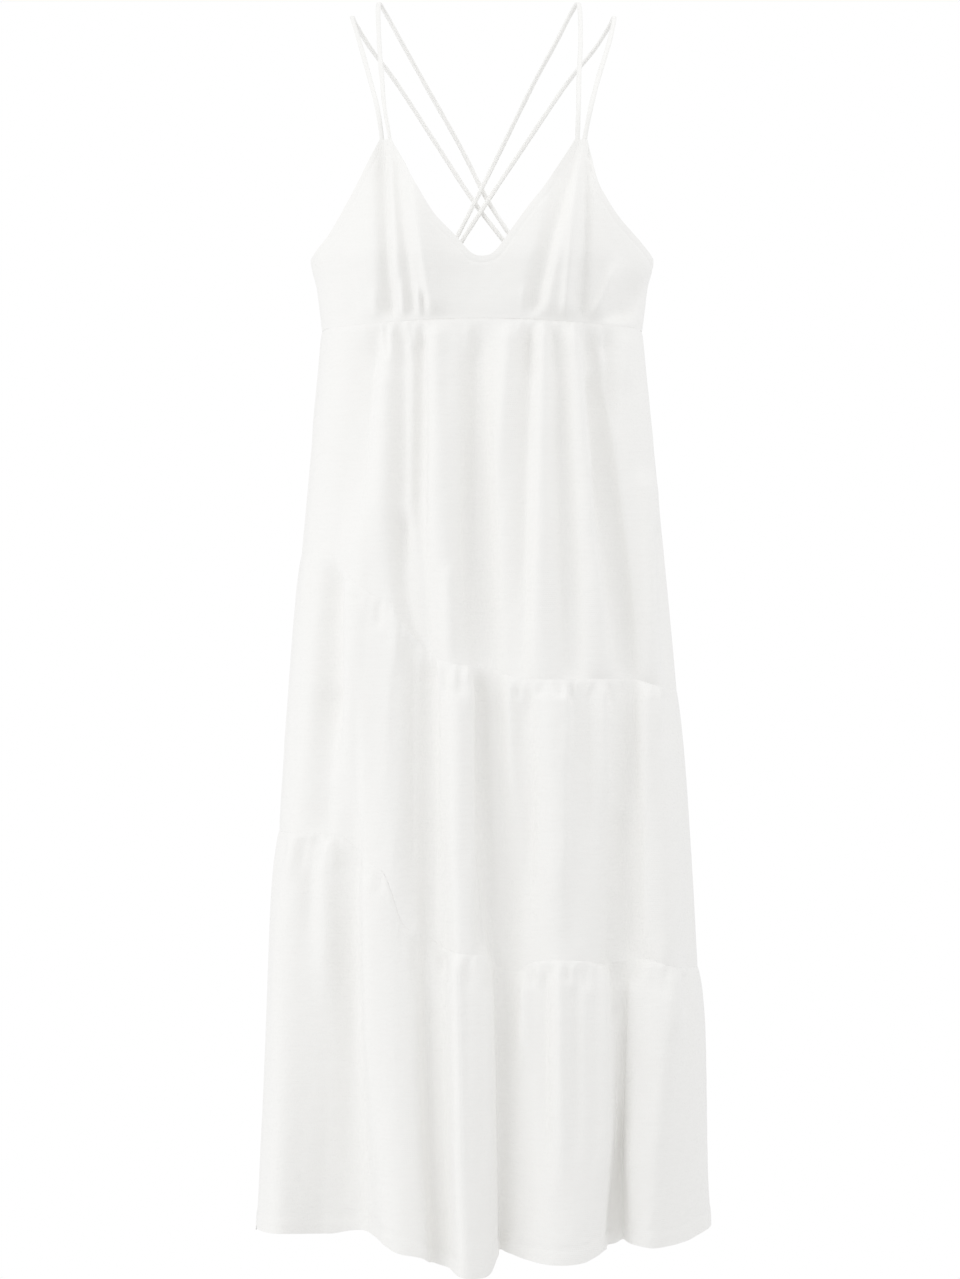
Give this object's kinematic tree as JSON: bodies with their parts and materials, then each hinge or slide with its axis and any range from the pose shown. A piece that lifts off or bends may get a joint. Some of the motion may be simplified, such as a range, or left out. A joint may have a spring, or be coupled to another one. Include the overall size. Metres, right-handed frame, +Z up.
{
  "type": "midi dress",
  "caption": "Sleeveless tiered midi dress with a V neckline, gathered cups, slanting seams and narrow straps crossed at the back, hollow and filled out as worn",
  "frame": {"origin": "centre of the line between the two shoulders that hold the straps up, with the inner straps' crests 5 mm above it and the outer straps' crests 7 mm below it", "axes": "+Z up, towards the shoulders; the front of the dress faces -Y; +X is on the right as the front is seen"},
  "size_m": [0.4276, 0.319, 1.1591],
  "materials": {
    "bodice_gauze": "off-white crinkled cotton double gauze, matt",
    "skirt_gauze": "off-white crinkled cotton double gauze, matt, gathered at the seams",
    "strap_gauze": "off-white cotton, turned and stitched into narrow tubes, matt"
  },
  "bodies": {
    "root": {"front_bodice": "bodice_gauze", "back_bodice": "bodice_gauze", "upper_skirt_front": "skirt_gauze", "upper_skirt_back": "skirt_gauze", "middle_tier_front": "skirt_gauze", "middle_tier_back": "skirt_gauze", "lower_tier_front": "skirt_gauze", "lower_tier_back": "skirt_gauze", "strap_left_outer": "strap_gauze", "strap_left_inner": "strap_gauze", "strap_right_inner": "strap_gauze", "strap_right_outer": "strap_gauze"}
  },
  "joints": []
}
